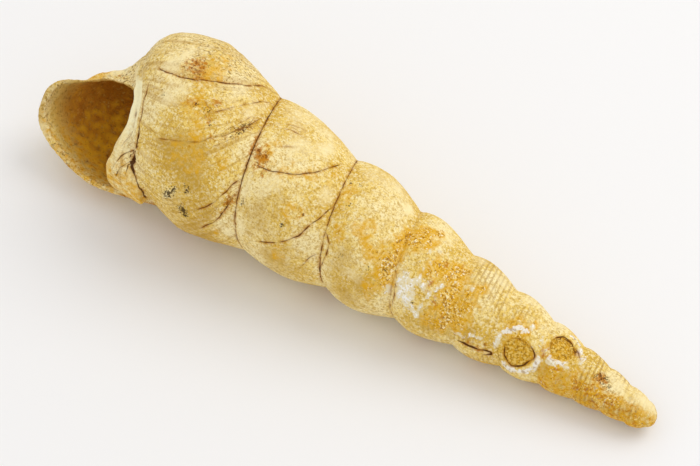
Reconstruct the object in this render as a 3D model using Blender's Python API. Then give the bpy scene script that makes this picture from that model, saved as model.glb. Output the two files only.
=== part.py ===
"""Fossil turret shell: a high-spired, right-handed snail shell, turned to stone and lying on its side.

Row frame, in metres: +X runs along the ground from the mouth towards the tip, +Z is up, and the
origin is under the middle of the shell, on the surface that it rests on.

The shell grows as an equiangular spiral. Everything is drawn about the pole, the point that the
spiral would shrink to: a point of the shell is (distance from the pole along the axis, radius,
turn angle), and one more turn multiplies the distance by a nearly constant factor.
"""

import math

import bmesh
import bpy
from mathutils import Matrix, Vector

MM = 0.001

# growth of the spiral
SPAN_AT_ZERO = 70.453     # mm from the pole to the suture at turn 0
GROWTH = 0.18625          # natural log of the growth factor a turn
GROWTH_RISE = 0.00104     # how fast that rises with the turns
CONE = 0.13               # suture radius over its distance from the pole
PHASE = math.radians(35.7)   # angle of turn 0, from straight up towards -Y
STEPS = 28                # facets a turn

# where the shell starts and ends
TIP_SPAN = 12.9           # mm from the pole to the blunt tip
TIP_ROUND = 2.6           # mm over which the tip rounds off
LAST_STEP = 20            # the mouth opens at turn LAST_STEP / STEPS
FIRST_STEP = -296         # the first drawn step, inside the tip
REST_TILT = math.radians(7.75)   # the axis falls towards the tip by this much
FACET_DEPTH = 0.30        # mm worn off where the shell lies on the ground

# the outside of one whorl, between two sutures
BULGE = 0.106             # how far a whorl swells past the straight cone
BULGE_SKEW = 1.25         # moves the swell towards the mouth
BULGE_FULL = 0.80         # under 1 makes the sutures narrow and the whorl full
BASE_AT = 0.66            # where the base starts to turn in, as a part of a whorl
WEAR = ((-9.0, 0.55), (-6.4, 0.7), (-4.5, 1.25), (-3.0, 1.33), (-1.5, 1.7), (-0.3, 1.05), (2.0, 1.0))
SHARE_WALL = (0.0, 0.06, 0.18, 0.34, 0.50, BASE_AT)
SHARE_TOP = (BASE_AT, 0.80, 0.92, 1.0)

# the base, in parts of the span at its own turn: (span, radius)
BASE_CREST = (1.2507, 0.0720)
BASE_AXIS = (1.2025, 0.0)
BASE_HANDLES = ((0.0469, -0.0095), (0.0, 0.0715), (0.0009, -0.0264), (0.0003, 0.0124))
BASE_STEPS = 5
BASE_FLARE = ((-0.12, 0.0), (0.0, -0.012), (0.12, 0.0), (0.25, -0.006), (0.34, -0.0095), (0.42, -0.009),
              (0.50, 0.0135), (0.56, 0.014), (0.62, 0.021), (0.67, 0.0196), (0.73, 0.008))   # (turn, rise)

# the hollow of the last whorl, in the same parts, round its edge
LUMEN = ((1.0480, 0.1290), (1.0950, 0.1460), (1.1450, 0.1485), (1.1915, 0.1340), (1.2290, 0.1070),
         (1.2395, 0.0720), (1.2240, 0.0410), (1.1750, 0.0200), (1.1200, 0.0150), (1.0760, 0.0280),
         (1.0530, 0.0600), (1.0450, 0.0980))
LUMEN_MIDDLE = (1.1450, 0.0800)
LUMEN_DEEP = -1           # step where the hollow ends
LUMEN_ROUND = 5           # steps over which it closes
LUMEN_OUT = 4             # steps that its cutter runs past the mouth
MOUTH_AT = (93.3, 2.7, 78.0)   # mm: span, radius and turn angle of the scoop that opens the mouth
MOUTH_SIZE = (6.7, 3.9, 5.2)   # mm: its half sizes along the axis, out from it and round it

# the inner lip: (turn angle in degrees, radius, span of its free edge, half thickness, height), mm
LIP = ((-72.0, 4.9, 91.5, 0.55, 2.4), (-40.0, 4.8, 90.9, 0.60, 2.6), (-12.0, 5.1, 89.3, 0.60, 2.8),
       (8.0, 6.0, 88.1, 0.62, 2.7), (28.0, 7.2, 87.2, 0.70, 2.9), (50.0, 8.7, 87.2, 0.90, 4.4),
       (66.0, 9.6, 87.5, 1.05, 6.2), (80.0, 10.0, 87.3, 1.00, 6.2), (93.0, 10.4, 87.0, 0.70, 5.2))
LIP_STEPS = 24
SEAM = 0.002              # mm between corners of the mouth's rim that count as one
AXIS_TURN = math.radians(33.34)  # angle of station angle 0

# worn windows: (turn, share of the whorl, radius mm, depth of the flat mm)
WINDOWS = ((-5.06, 0.53, 1.95, 0.34), (-5.92, 0.56, 1.60, 0.28))
SLIT = (-4.145, 0.20, -4.14, 0.70, 0.42)   # from (turn, share) to (turn, share), half width mm


def clear_scene():
    for item in list(bpy.data.objects):
        bpy.data.objects.remove(item, do_unlink=True)


def collection(name):
    made = bpy.data.collections.new(name)
    bpy.context.scene.collection.children.link(made)
    return made


def span(turn):
    """Distance from the pole of the suture at a turn."""
    return SPAN_AT_ZERO * math.exp(GROWTH * turn + GROWTH_RISE * turn * turn)


def angle_of(turn):
    return PHASE - 2 * math.pi * turn


def smooth_between(stations, at):
    """Smooth interpolation of rows (key, value, ...) sorted by key."""
    if at <= stations[0][0]:
        return stations[0][1:]
    for low, high in zip(stations, stations[1:]):
        if at <= high[0]:
            part = (at - low[0]) / (high[0] - low[0])
            ease = part * part * (3 - 2 * part)
            return tuple(a + (b - a) * ease for a, b in zip(low[1:], high[1:]))
    return stations[-1][1:]


def at(distance, radius, angle):
    """A point in the row's directions, measured in mm from the pole."""
    along = Vector((-math.cos(REST_TILT), 0.0, math.sin(REST_TILT)))
    lifted = Vector((math.sin(REST_TILT), 0.0, math.cos(REST_TILT)))
    across = Vector((0.0, -1.0, 0.0))
    return distance * along + radius * (math.cos(angle) * lifted + math.sin(angle) * across)


def tip_factor(distance):
    """Shrinks the radius to nothing over the round of the tip."""
    part = min(max((distance - TIP_SPAN) / TIP_ROUND, 0.0), 1.0)
    return math.sqrt(max(0.0, 1 - (1 - part) ** 2))


def swell(share):
    if share <= 0 or share >= 1:
        return 0.0
    return BULGE * max(0.0, math.sin(math.pi * share ** BULGE_SKEW)) ** BULGE_FULL


def wall_section(turn, share):
    """(distance, radius) on the whorl's outside, from its upper suture (0) to its lower one (1)."""
    distance = max(span(turn + share), TIP_SPAN)
    worn = smooth_between(WEAR, turn + share)[0]
    radius = CONE * distance * (1 + swell(share) * worn) * tip_factor(distance)
    return distance, radius


def wall_point(turn, share):
    return at(*wall_section(turn, share), angle_of(turn))


def cubic(a, b, c, d, part):
    rest = 1 - part
    return tuple(rest ** 3 * p + 3 * rest * rest * part * q + 3 * rest * part * part * r + part ** 3 * s
                 for p, q, r, s in zip(a, b, c, d))


def base_point(turn, part):
    """On the base of the last whorl: part 0 is where the wall ends, 1 the crest and 2 the axis."""
    size = span(turn)
    ends = (tuple(v / size for v in wall_section(turn, BASE_AT)), BASE_CREST, BASE_CREST, BASE_AXIS)
    handles = [(e[0] + h[0], e[1] + h[1]) for e, h in zip(ends, BASE_HANDLES)]
    k = 0 if part <= 1 else 2
    spot = cubic(ends[k], handles[k], handles[k + 1], ends[k + 1], part - k / 2)
    flare = smooth_between(BASE_FLARE, turn)[0] * min(1.0, 1.4 * part, 1.4 * (2 - part))
    return at((spot[0] + flare) * size, max(spot[1], 0.0) * size, angle_of(turn))


def sheet(mesh, rows, columns, place):
    """Adds a grid primitive of rows x columns cells and moves each vertex to place(row, column)."""
    made = bmesh.ops.create_grid(mesh, x_segments=rows, y_segments=columns, size=1.0)
    for vert in made["verts"]:
        row = round((vert.co.x + 1) / 2 * rows)
        column = round((vert.co.y + 1) / 2 * columns)
        vert.co = place(row, column) * MM


def close_up(mesh, weld):
    """Welds the seams, fills what is still open and turns the faces outwards."""
    bmesh.ops.remove_doubles(mesh, verts=mesh.verts[:], dist=weld)
    bmesh.ops.dissolve_degenerate(mesh, edges=mesh.edges[:], dist=weld)
    loose = [v for v in mesh.verts if not v.link_faces]
    bmesh.ops.delete(mesh, geom=loose, context="VERTS")
    open_edges = [e for e in mesh.edges if e.is_boundary]
    if open_edges:
        bmesh.ops.contextual_create(mesh, geom=open_edges)
    bmesh.ops.triangulate(mesh, faces=mesh.faces[:])
    bmesh.ops.recalc_face_normals(mesh, faces=mesh.faces[:])


def to_object(mesh, name, group, shift):
    bmesh.ops.translate(mesh, verts=mesh.verts[:], vec=shift)
    data = bpy.data.meshes.new(name)
    mesh.to_mesh(data)
    mesh.free()
    made = bpy.data.objects.new(name, data)
    group.objects.link(made)
    return made


def whorls():
    """The solid shell: a strip wound from suture to suture, the free base and the cut across the mouth."""
    mesh = bmesh.new()
    last_turn_start = LAST_STEP - STEPS
    rows = LAST_STEP - FIRST_STEP
    sheet(mesh, rows, len(SHARE_WALL) - 1,
          lambda i, j: wall_point((FIRST_STEP + i) / STEPS, SHARE_WALL[j]))
    rows = last_turn_start - FIRST_STEP
    sheet(mesh, rows, len(SHARE_TOP) - 1,
          lambda i, j: wall_point((FIRST_STEP + i) / STEPS, SHARE_TOP[j]))
    sheet(mesh, STEPS, 2 * BASE_STEPS,
          lambda i, j: base_point((last_turn_start + i) / STEPS, j / BASE_STEPS))
    close_up(mesh, 2e-6)
    return mesh


def loop_point(stations, part):
    """A smooth closed curve through the stations."""
    count = len(stations)
    where = part * count
    i = int(math.floor(where)) % count
    t = where - math.floor(where)
    p0, p1, p2, p3 = (stations[(i + k) % count] for k in (-1, 0, 1, 2))
    return tuple(0.5 * (2 * b + (c - a) * t + (2 * a - 5 * b + 4 * c - d) * t * t
                        + (3 * b - a - 3 * c + d) * t ** 3) for a, b, c, d in zip(p0, p1, p2, p3))


def lumen_point(step, part):
    turn = step / STEPS
    size = span(turn)
    deep = min(max((step - LUMEN_DEEP) / LUMEN_ROUND, 0.0), 1.0)
    shrink = math.sqrt(max(0.0, 1 - (1 - deep) ** 2))
    spot = loop_point(LUMEN, part)
    spot = tuple(m + (s - m) * shrink for m, s in zip(LUMEN_MIDDLE, spot))
    towards_crest = min(max((spot[0] - LUMEN_MIDDLE[0]) / (BASE_CREST[0] - LUMEN_MIDDLE[0]), 0.0), 1.0)
    flare = smooth_between(BASE_FLARE, turn)[0] * towards_crest
    return at((spot[0] + flare) * size, spot[1] * size, angle_of(turn))


def lumen():
    """The hollow, as a closed cutter that runs in from beyond the mouth."""
    mesh = bmesh.new()
    around = 18
    sheet(mesh, LAST_STEP + LUMEN_OUT - LUMEN_DEEP, around,
          lambda i, j: lumen_point(LUMEN_DEEP + i, (j % around) / around))
    close_up(mesh, 2e-6)
    return mesh


def mouth():
    """A ball-shaped scoop that opens the mouth between the hollow and the base, beside the axis."""
    distance, radius, degrees = MOUTH_AT
    angle = AXIS_TURN + math.radians(degrees)
    along = at(1, 0, 0)
    out = at(1, 1, angle) - along
    basis = Matrix((along, out, along.cross(out))).transposed().to_4x4()
    size = Matrix.Diagonal([v * MM for v in MOUTH_SIZE] + [1.0])
    place = Matrix.Translation(at(distance, radius, angle) * MM)
    mesh = bmesh.new()
    bmesh.ops.create_uvsphere(mesh, u_segments=20, v_segments=12, radius=1.0, matrix=place @ basis @ size)
    close_up(mesh, 2e-6)
    return mesh


def lip_point(row, corner):
    """The inner lip's section is a thin wall with a rounded free edge, rooted in the base."""
    low, high = LIP[0][0], LIP[-1][0]
    degrees = low + (high - low) * row / LIP_STEPS
    radius, edge, half, height = smooth_between(LIP, degrees)
    side, down = ((-1, height), (-1, half), (-0.5, 0), (0.5, 0), (1, half), (1, height))[corner]
    return at(edge - down, radius + half * side, AXIS_TURN + math.radians(degrees))


def inner_lip():
    mesh = bmesh.new()
    sheet(mesh, LIP_STEPS, 6, lambda i, j: lip_point(i, j % 6))
    bmesh.ops.remove_doubles(mesh, verts=mesh.verts[:], dist=1e-6)
    open_edges = [e for e in mesh.edges if e.is_boundary]
    bmesh.ops.holes_fill(mesh, edges=open_edges, sides=0)
    bmesh.ops.triangulate(mesh, faces=mesh.faces[:])
    bmesh.ops.recalc_face_normals(mesh, faces=mesh.faces[:])
    return mesh


def outward(turn, share):
    """The direction that the whorl faces at a point of its outside."""
    here = wall_point(turn, share)
    round_ = wall_point(turn + 0.01, share - 0.01) - here
    along = wall_point(turn, share + 0.02) - wall_point(turn, share - 0.02)
    normal = round_.cross(along).normalized()
    axis = here.project(at(1, 0, 0))
    return normal if normal.dot(here - axis) > 0 else -normal


def window_cutter(turn, share, radius, depth):
    """A disc that wears a flat into a whorl, down to the stone that fills it."""
    spot = wall_point(turn, share) * MM
    normal = outward(turn, share)
    face = normal.to_track_quat("Z", "Y").to_matrix().to_4x4()
    height = 2.0 * MM
    place = Matrix.Translation(spot + normal * (height / 2 - depth * MM)) @ face
    mesh = bmesh.new()
    bmesh.ops.create_cone(mesh, cap_ends=True, cap_tris=False, segments=22, radius1=radius * MM,
                          radius2=(radius + 0.5) * MM, depth=height, matrix=place)
    close_up(mesh, 2e-6)
    return mesh


def slit_cutter():
    """A narrow worn crack along the whorl, as a flattened ball."""
    turn_a, share_a, turn_b, share_b, half = SLIT
    a, b = wall_point(turn_a, share_a), wall_point(turn_b, share_b)
    turn, share = (turn_a + turn_b) / 2, (share_a + share_b) / 2
    normal = outward(turn, share)
    along = (b - a).normalized()
    side = normal.cross(along).normalized()
    along = side.cross(normal)
    basis = Matrix((along, side, normal)).transposed().to_4x4()
    size = Matrix.Diagonal(((b - a).length / 2 * MM, half * MM, 0.55 * MM, 1.0))
    mesh = bmesh.new()
    spot = wall_point(turn, share) * MM
    bmesh.ops.create_uvsphere(mesh, u_segments=12, v_segments=6, radius=1.0,
                              matrix=Matrix.Translation(spot) @ basis @ size)
    close_up(mesh, 2e-6)
    return mesh


def ground_cutter(group):
    """Everything under the ground: it wears small flats where the shell lies."""
    bpy.ops.mesh.primitive_cube_add(size=0.2, location=(0, 0, -0.1))
    block = bpy.context.object
    block.name = "ground_cutter"
    for owner in list(block.users_collection):
        owner.objects.unlink(block)
    group.objects.link(block)
    return block


def fossil_material():
    made = bpy.data.materials.new("fossil_limestone")
    made.use_nodes = True
    shader = made.node_tree.nodes["Principled BSDF"]
    shader.inputs["Base Color"].default_value = (0.66, 0.50, 0.24, 1.0)
    shader.inputs["Roughness"].default_value = 0.82
    shader.inputs["Metallic"].default_value = 0.0
    return made


def boolean(target, cutter, operation):
    change = target.modifiers.new(cutter.name, "BOOLEAN")
    change.object = cutter
    change.operation = operation
    change.solver = "EXACT"
    cutter.hide_render = True
    cutter.display_type = "WIRE"


def shell_shift(mesh):
    """Moves the pole so that the shell's box stands on the ground, centred on the origin."""
    low = Vector(min(v.co[k] for v in mesh.verts) for k in range(3))
    high = Vector(max(v.co[k] for v in mesh.verts) for k in range(3))
    middle = (low + high) / 2
    return Vector((-middle.x, -middle.y, -low.z - FACET_DEPTH * MM))


def build():
    clear_scene()
    parts = collection("fossil_turritella_shell")
    cutters = collection("cutters")
    body = whorls()
    shift = shell_shift(body)
    shell = to_object(body, "shell", parts, shift)
    for number, window in enumerate(WINDOWS):
        cutter = to_object(window_cutter(*window), f"window_cutter_{number}", cutters, shift)
        boolean(shell, cutter, "DIFFERENCE")
    boolean(shell, to_object(slit_cutter(), "slit_cutter", cutters, shift), "DIFFERENCE")
    boolean(shell, ground_cutter(cutters), "DIFFERENCE")
    hollow = to_object(lumen(), "lumen_cutter", cutters, shift)
    boolean(hollow, to_object(mouth(), "mouth_cutter", cutters, shift), "UNION")
    boolean(shell, hollow, "DIFFERENCE")
    seam = shell.modifiers.new("seam", "WELD")
    seam.merge_threshold = SEAM * MM
    boolean(shell, to_object(inner_lip(), "lip_piece", cutters, shift), "UNION")
    shell.data.materials.append(fossil_material())
    shell.data.shade_smooth()
    shell.data.set_sharp_from_angle(angle=math.radians(40))


build()
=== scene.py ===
"""A fossil turret shell lying on a pale surface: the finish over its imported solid.

The shell is grown again here by the rule that its solid follows, much finer, and is then worn and
coloured. Lengths are in millimetres until a mesh is written. A place on the wall is (turn, share):
the turn of the spiral, and the share of the whorl's height from its upper suture (0) to its lower (1).
"""

import math

import bpy
import numpy as np
from mathutils import Matrix, Vector, noise
from mathutils.bvhtree import BVHTree
from mathutils.kdtree import KDTree
from numpy.linalg import norm


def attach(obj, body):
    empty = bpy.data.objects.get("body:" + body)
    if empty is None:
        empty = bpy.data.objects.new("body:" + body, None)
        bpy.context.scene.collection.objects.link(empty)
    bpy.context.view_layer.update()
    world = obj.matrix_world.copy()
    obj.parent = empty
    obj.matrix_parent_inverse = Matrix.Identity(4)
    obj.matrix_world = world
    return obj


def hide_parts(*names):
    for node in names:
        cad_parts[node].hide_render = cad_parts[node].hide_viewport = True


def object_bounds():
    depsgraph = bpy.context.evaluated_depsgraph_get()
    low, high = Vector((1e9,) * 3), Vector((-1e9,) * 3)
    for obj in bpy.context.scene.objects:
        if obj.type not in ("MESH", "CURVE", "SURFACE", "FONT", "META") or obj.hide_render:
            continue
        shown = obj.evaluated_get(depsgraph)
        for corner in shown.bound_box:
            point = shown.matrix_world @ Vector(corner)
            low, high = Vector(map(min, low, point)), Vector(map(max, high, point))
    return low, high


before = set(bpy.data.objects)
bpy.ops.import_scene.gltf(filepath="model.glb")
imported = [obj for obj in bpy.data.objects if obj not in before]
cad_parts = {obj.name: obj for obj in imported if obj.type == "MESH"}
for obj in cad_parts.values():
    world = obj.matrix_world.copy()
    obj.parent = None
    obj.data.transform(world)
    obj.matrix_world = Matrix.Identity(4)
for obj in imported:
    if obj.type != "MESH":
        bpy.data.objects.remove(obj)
cad_box = [list(corner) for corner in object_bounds()]

MM = 0.001

# growth of the spiral, as in the solid
POLE = np.array((57.0398, -0.5396, 0.511))   # the point that the spiral shrinks to
REST_TILT = math.radians(7.75)
ALONG = np.array((-math.cos(REST_TILT), 0.0, math.sin(REST_TILT)))
LIFTED = np.array((math.sin(REST_TILT), 0.0, math.cos(REST_TILT)))
ACROSS = np.array((0.0, -1.0, 0.0))
SPAN_AT_ZERO, GROWTH, GROWTH_RISE = 70.453, 0.18625, 0.00104
CONE = 0.13
PHASE = math.radians(35.7)
TIP_SPAN, TIP_ROUND = 12.9, 2.6
SOLID_STEPS = 28     # facets a turn in the solid
MOUTH_TURN = 20 / SOLID_STEPS
FIRST_TURN = -296 / SOLID_STEPS
STEPS = 112          # facets a turn here
LAP_AT_ZERO = 62     # mm round the shell at turn 0

BULGE, BULGE_SKEW, BULGE_FULL = 0.106, 1.25, 0.8
BASE_AT = 0.66
WEAR = ((-9, 0.55), (-6.4, 0.7), (-4.5, 1.25), (-3, 1.33), (-1.5, 1.7), (-0.3, 1.05), (2, 1))
BASE_CREST, BASE_AXIS = (1.2507, 0.072), (1.2025, 0)
BASE_HANDLES = ((0.0469, -0.0095), (0, 0.0715), (0.0009, -0.0264), (0.0003, 0.0124))
BASE_FLARE = ((-0.12, 0), (0, -0.012), (0.12, 0), (0.25, -0.006), (0.34, -0.0095), (0.42, -0.009),
              (0.5, 0.0135), (0.56, 0.014), (0.62, 0.021), (0.67, 0.0196), (0.73, 0.008))

# the hollow, its scoop and the inner lip, as in the solid
LUMEN = ((1.048, 0.129), (1.095, 0.146), (1.145, 0.1485), (1.1915, 0.134), (1.229, 0.107),
         (1.2395, 0.072), (1.224, 0.041), (1.175, 0.02), (1.12, 0.015), (1.076, 0.028),
         (1.053, 0.06), (1.045, 0.098))
LUMEN_MIDDLE = (1.145, 0.08)
LUMEN_FROM, LUMEN_TO, LUMEN_ROUND = (steps / SOLID_STEPS for steps in (-1, 24, 5))
MOUTH_AT, MOUTH_SIZE = (93.3, 2.7, 78), (6.7, 3.9, 5.2)
AXIS_TURN = math.radians(33.34)
LIP = ((-72, 4.9, 91.5, 0.55, 2.4), (-40, 4.8, 90.9, 0.6, 2.6), (-12, 5.1, 89.3, 0.6, 2.8),
       (8, 6, 88.1, 0.62, 2.7), (28, 7.2, 87.2, 0.7, 2.9), (50, 8.7, 87.2, 0.9, 4.4),
       (66, 9.6, 87.5, 1.05, 6.2), (80, 10, 87.3, 1, 6.2), (93, 10.4, 87, 0.7, 5.2))

GRAIN = 0.285        # mm between the finished mesh's vertices
FINE_GRAIN = 0.16    # mm between them while the hollow is cut
MERGED = 3e-7        # m: vertices closer than this become one
LINE_STEP = 0.1      # mm between the points of a crack
NUDGE = 0.01         # turn or share by which a direction on the wall is measured
THREAD_PITCH = 0.62  # mm between spiral threads

# relief, mm: threads, crust, pits of rust and of black specks, cracks round the windows
THREAD_HIGH, CRUST_THICK, RUST_PIT, BLACK_PIT, RING_DEEP = 0.014, 0.1, 0.1, 0.08, 0.14
# mm: how wide the slopes of a suture and of a crack are, how far a crack wanders off its points, and
# how near a crack and a suture have to be to count
SUTURE_SLOPE, CRACK_SLOPE, CRACK_WANDER, CRACK_REACH, SUTURE_REACH = 0.32, 0.18, 0.12, 1.5, 2
RING_STEP = 3        # degrees between the points of a crack round a window

# a growth line runs on by SWEEP turns from a whorl's lower suture to its upper one, mostly near that
SWEEP, SWEEP_POWER = 0.16, 2.2

# the sutures: (turn, half width of the dark line in them, depth of the groove), mm
SUTURE = ((-10.5, 0, 0.07), (-6, 0, 0.1), (-4.3, 0, 0.1), (-4.1, 0, 0.04), (-2.7, 0, 0.05),
          (-2.25, 0.03, 0.12), (-2, 0.02, 0.1), (-1.8, 0.02, 0.1), (-1.4, 0.04, 0.1),
          (-1.25, 0.08, 0.14), (-1.14, 0.11, 0.16), (-1.07, 0.05, 0.1), (-0.9, 0.04, 0.1),
          (-0.7, 0.04, 0.1), (-0.3, 0.04, 0.1), (-0.1, 0.05, 0.13), (0.03, 0.07, 0.15),
          (0.12, 0.05, 0.13), (0.3, 0.04, 0.1), (0.72, 0.05, 0.1))
SUTURE_FROM, SUTURE_STEP = -10.2, 0.0012  # turn where it starts, and turns between its points

# cracks on the wall: (half width mm, depth mm, points as (turn, share))
CRACKS = (
    (0.0682, 0.11, ((0.08, 1.13), (0.078, 1.06), (0.079, 1), (0.08, 0.94), (0.082, 0.83), (0.09, 0.7),
     (0.106, 0.56), (0.127, 0.43), (0.159, 0.28), (0.218, 0.13))),
    (0.0372, 0.048, ((0.054, 0.45), (0.087, 0.32), (0.123, 0.2), (0.152, 0.12), (0.18, 0.01))),
    (0.0434, 0.04, ((-0.035, 0.83), (-0.018, 0.63), (0, 0.45), (0.036, 0.27), (0.079, 0.12),
     (0.116, 0.05))),
    (0.0372, 0.04, ((0.008, 0.42), (0.036, 0.3), (0.069, 0.21), (0.103, 0.13))),
    (0.031, 0.032, ((-0.002, 0.36), (0.02, 0.27), (0.055, 0.15), (0.098, 0.04))),
    (0.0558, 0.08, ((-0.131, 0.38), (-0.111, 0.28), (-0.091, 0.2), (-0.062, 0.12), (-0.041, 0.07),
     (-0.022, 0.02))),
    (0.0744, 0.11, ((-0.178, 0.35), (-0.142, 0.2), (-0.123, 0.14), (-0.093, 0.09), (-0.068, 0.05))),
    (0.0434, 0.048, ((-0.088, 0.11), (-0.064, 0.05), (-0.052, 0.01))),
    (0.031, 0.032, ((0.069, 0.58), (0.06, 0.51), (0.06, 0.44))),
    (0.0558, 0.056, ((-0.979, 0.9), (-0.976, 0.76), (-0.963, 0.61), (-0.947, 0.46), (-0.927, 0.35),
     (-0.902, 0.25), (-0.852, 0.12))),
    (0.0372, 0.032, ((-0.881, 0.83), (-0.871, 0.74), (-0.871, 0.64))),
    (0.031, 0.032, ((-0.895, 0.99), (-0.868, 0.86), (-0.855, 0.72), (-0.85, 0.6))),
    (0.031, 0.024, ((-0.925, 0.79), (-0.914, 0.72), (-0.902, 0.62))),
    (0.062, 0.08, ((-1.128, 0.71), (-1.107, 0.5), (-1.083, 0.35), (-1.066, 0.27), (-1.046, 0.22),
     (-1.004, 0.1), (-0.968, 0.02))),
    (0.0434, 0.048, ((-1.154, 0.22), (-1.108, 0.11), (-1.084, 0.01))),
    (0.0496, 0.056, ((-2.03, 0.99), (-2.046, 0.91), (-2.079, 0.92), (-2.127, 0.98))),
    (0.0372, 0.04, ((-3.02, 0.99), (-3.04, 0.95), (-3.09, 0.93), (-3.15, 0.95))),
    (0.2, 0.24, ((-4.137, 0.76), (-4.14, 0.62), (-4.139, 0.48), (-4.137, 0.34))),
    (0.11, 0.14, ((-4.137, 0.36), (-4.129, 0.24), (-4.13, 0.12), (-4.146, 0.1), (-4.152, 0.22))),
    (0.0558, 0.08, ((-5.868, 0.25), (-5.884, 0.14), (-5.905, 0.02))),
)

# folds and the groove behind the inner lip: the same, with points as (span, radius, degrees)
LIP_CRACKS = (
    (0.055, 0.1, ((83.9, 9.6, 31), (84.8, 9.1, 40.8), (85.3, 9.3, 44.3), (85.8, 9.6, 50.6), (86.1, 9.9, 56),
     (86.2, 10.4, 60.8))),
    (0.055, 0.1, ((84, 9.4, 45.4), (84.6, 9.6, 50.5), (85.2, 9.9, 56.1), (85.4, 10.4, 61.4),
     (85.5, 10.7, 67.3))),
    (0.04, 0.08, ((87.3, 6.6, 8), (86.5, 7.3, 17.3), (86, 7.9, 25), (85.9, 8.1, 32.6), (86.2, 8.9, 42))),
    (0.09, 0.16, ((86.9, 8.8, -14), (86.5, 8.3, -1.6), (85.8, 8.7, 7.6), (85.1, 9.1, 16.8))),
    (0.15, 0.22, ((85.1, 9.1, 16.8), (84.7, 9.3, 24.3), (84.4, 9.4, 30.1), (84.2, 9.3, 38.7))),
    (0.26, 0.3, ((84.2, 9.3, 38.7), (84, 9.5, 47.2), (83.9, 9.7, 52.5), (83.2, 9.9, 56))),
    (0.1, 0.18, ((83.2, 9.9, 56), (82.3, 10.3, 60.1), (81.6, 10.3, 67), (81.3, 10.2, 79.2))),
)

# worn windows, as in the solid: (turn, share, radius mm, depth of the flat mm), and round each, in
# degrees from the tip's side: the arcs of its crack, (window, from, to, radius as a part, half width mm),
# and of the white lime outside it, (window, from, to, radius mm, half width mm)
WINDOWS = ((-5.06, 0.53, 1.95, 0.34), (-5.92, 0.56, 1.6, 0.28))
RINGS = ((0, 192, 250, 0.99, 0.13), (0, 256, 362, 0.97, 0.11), (0, 2, 62, 1.02, 0.07),
         (0, 80, 160, 1, 0.03), (1, 12, 172, 1, 0.09), (1, 176, 240, 0.98, 0.03),
         (1, 20, 190, 0.64, 0.02))
BRIMS = ((0, 236, 300, 2.45, 0.34), (0, 285, 385, 2.55, 0.36), (0, 84, 196, 2.95, 0.26),
         (0, 70, 110, 3.5, 0.3), (1, 238, 335, 1.9, 0.22), (1, 20, 100, 2.35, 0.18), (1, -8, 24, 2.75, 0.3))
BRIM_FADE = 14       # degrees over which the lime thins out at the end of an arc

# what colours the wall: spots of (turn, share, mm along the whorl, mm across it, strength)
SPOTS = {}
# iron stain
SPOTS["rust"] = (
    (0.122, 0.78, 1.1, 0.6, 1), (0.125, 0.71, 0.8, 0.6, 1), (0.097, 0.69, 0.7, 0.8, 0.9),
    (0.108, 0.72, 0.6, 1.2, 0.8), (0.11, 0.86, 1.4, 0.4, 0.5), (-0.955, 0.93, 1.1, 0.6, 1),
    (-0.956, 0.85, 1.2, 0.6, 0.8), (-0.975, 0.91, 0.8, 0.5, 0.7), (0.05, 0.01, 1.6, 0.3, 0.8),
    (-0.985, 0.82, 1.2, 0.4, 0.5), (0.05, 0.64, 0.7, 0.8, 0.6), (0.076, 0.45, 0.5, 0.7, 0.7),
    (0.04, 0.45, 0.8, 0.5, 0.6), (0.02, 0.37, 0.7, 0.3, 0.6), (-0.078, 0.08, 0.9, 0.4, 0.9),
    (-0.108, 0.12, 0.8, 0.3, 0.8), (-0.06, 0.03, 0.8, 0.3, 0.7), (-1.018, 0.29, 0.5, 0.4, 0.5),
    (-7.08, 0.52, 1, 0.6, 0.6), (-6.95, 0.3, 0.7, 0.5, 0.5), (-9.03, 0.5, 0.8, 0.8, 0.5),
    (-6.935, 0.22, 0.7, 0.4, 0.85), (-6.93, 0.07, 0.7, 0.4, 0.8), (-7.96, 0.88, 0.6, 0.35, 0.7),
    (-6, 0.93, 0.9, 0.35, 0.7),
)
# ochre clay, in the worn grain of the wall
SPOTS["ochre"] = (
    (0.045, 0.6, 1.6, 1.6, 0.5), (0, 0.48, 2.4, 1.4, 0.38), (-0.034, 0.6, 2, 1.6, 0.34),
    (-0.042, 0.4, 1.5, 1.5, 0.3), (-0.013, 0.2, 1.6, 1, 0.34), (0.12, 0.62, 3, 1.6, 0.44),
    (0.16, 0.55, 3, 1, 0.3), (-0.16, 0.2, 2, 0.5, 0.36), (-0.94, 0.84, 2, 1, 0.5),
    (-0.957, 0.6, 1.5, 1.6, 0.38), (-0.93, 0.38, 1.4, 1.4, 0.34), (-0.894, 0.14, 1.8, 0.7, 0.3),
    (-1.137, 0.47, 1.5, 0.8, 0.56), (-1.02, 0.4, 1.5, 1.5, 0.32), (-1.923, 0.9, 2.5, 0.8, 0.5),
    (-2.014, 0.85, 1.5, 0.8, 0.6), (-1.976, 0.55, 1.6, 1.6, 0.55), (-2.01, 0.35, 1.6, 1.2, 0.65),
    (-2.025, 0.12, 1.4, 0.9, 1), (-2.105, 0.3, 1.4, 1, 0.7), (-5.06, 0.53, 1.5, 1.5, 1),
    (-5.921, 0.56, 1.2, 1.2, 1), (-5.98, 0.98, 0.8, 0.5, 0.68), (-6.02, 0.5, 1.4, 0.9, 0.75),
    (-6.08, 0.6, 1.4, 0.9, 0.68), (-7.01, 0.95, 1, 0.6, 0.68), (-7.02, 0.45, 1.2, 0.9, 0.75),
    (-7.09, 0.5, 1.2, 0.9, 0.75), (-7.05, 0.05, 1, 0.6, 0.68), (-8.08, 0.6, 1.2, 0.9, 0.68),
    (-9.04, 0.85, 1.1, 0.8, 0.75), (-9.02, 0.25, 1, 0.8, 0.75), (-10.03, 0.6, 1, 0.8, 0.6),
    (-5.757, 0.42, 1, 0.5, 0.7),
)
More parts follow.
